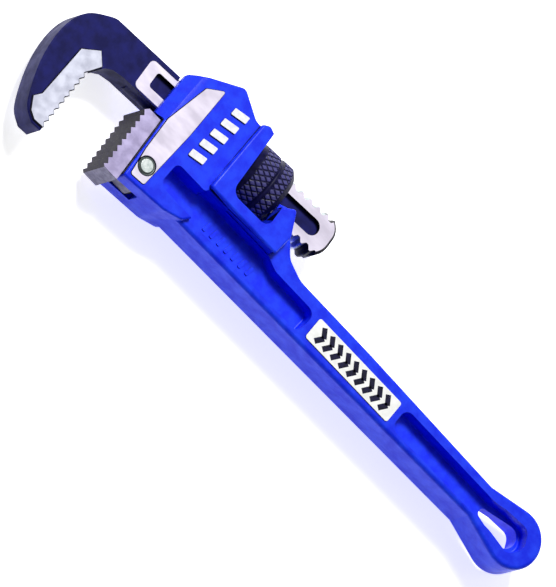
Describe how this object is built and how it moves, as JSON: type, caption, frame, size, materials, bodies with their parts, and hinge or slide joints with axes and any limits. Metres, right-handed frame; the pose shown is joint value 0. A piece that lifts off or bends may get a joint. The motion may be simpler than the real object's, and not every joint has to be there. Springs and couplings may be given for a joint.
{
  "type": "pipe wrench",
  "caption": "Straight-handled adjustable pipe wrench with a threaded hook jaw, knurled nut, pinned heel jaw and a ribbed cast handle.",
  "frame": {"origin": "centre of the outer box in plan, on the face that the wrench lies on", "axes": "+X along the handle from the jaws to the hanging eye, +Y from the heel jaw's side to the spine, +Z through the thickness"},
  "size_m": [0.3198, 0.083, 0.032],
  "materials": {
    "blue_enamel_casting": "gloss enamel over cast iron",
    "ground_steel": "ground and hardened",
    "bright_pin": "turned",
    "dark_forging": "dark baked paint over a forging",
    "dark_nut": "dark oxide, knurled",
    "spring_steel": "oiled spring steel",
    "label_film": "satin film"
  },
  "bodies": {
    "frame": {"handle": "blue_enamel_casting", "heel_jaw": "ground_steel", "heel_jaw_pin": "bright_pin", "handle_label": "label_film"},
    "springs": {"flat_spring": "spring_steel", "coil_spring": "spring_steel"},
    "hook": {"hook_jaw": "dark_forging", "hook_jaw_teeth": "ground_steel"},
    "nut": {"adjusting_nut": "dark_nut"}
  },
  "joints": [
    {"name": "jaw_rock", "type": "hinge", "parent": "frame", "child": "springs", "pos_m": [-0.04574, 0.01978, 0.016], "axis": [0, 0, 1], "range_deg": [-2, 1.2], "stiffness_Nm_per_rad": 25},
    {"name": "jaw_slide", "type": "slide", "parent": "springs", "child": "hook", "axis": [0.9979, 0.0645, 0], "range_m": [-0.028, 0.024]},
    {"name": "nut_spin", "type": "hinge", "parent": "springs", "child": "nut", "pos_m": [-0.04574, 0.01978, 0.016], "axis": [0.9979, 0.0645, 0], "range_deg": [-1702, 1986]}
  ],
  "couplings": [
    {"joint": "nut_spin", "follows": "jaw_slide", "rad_per_m": -1236.8}
  ]
}
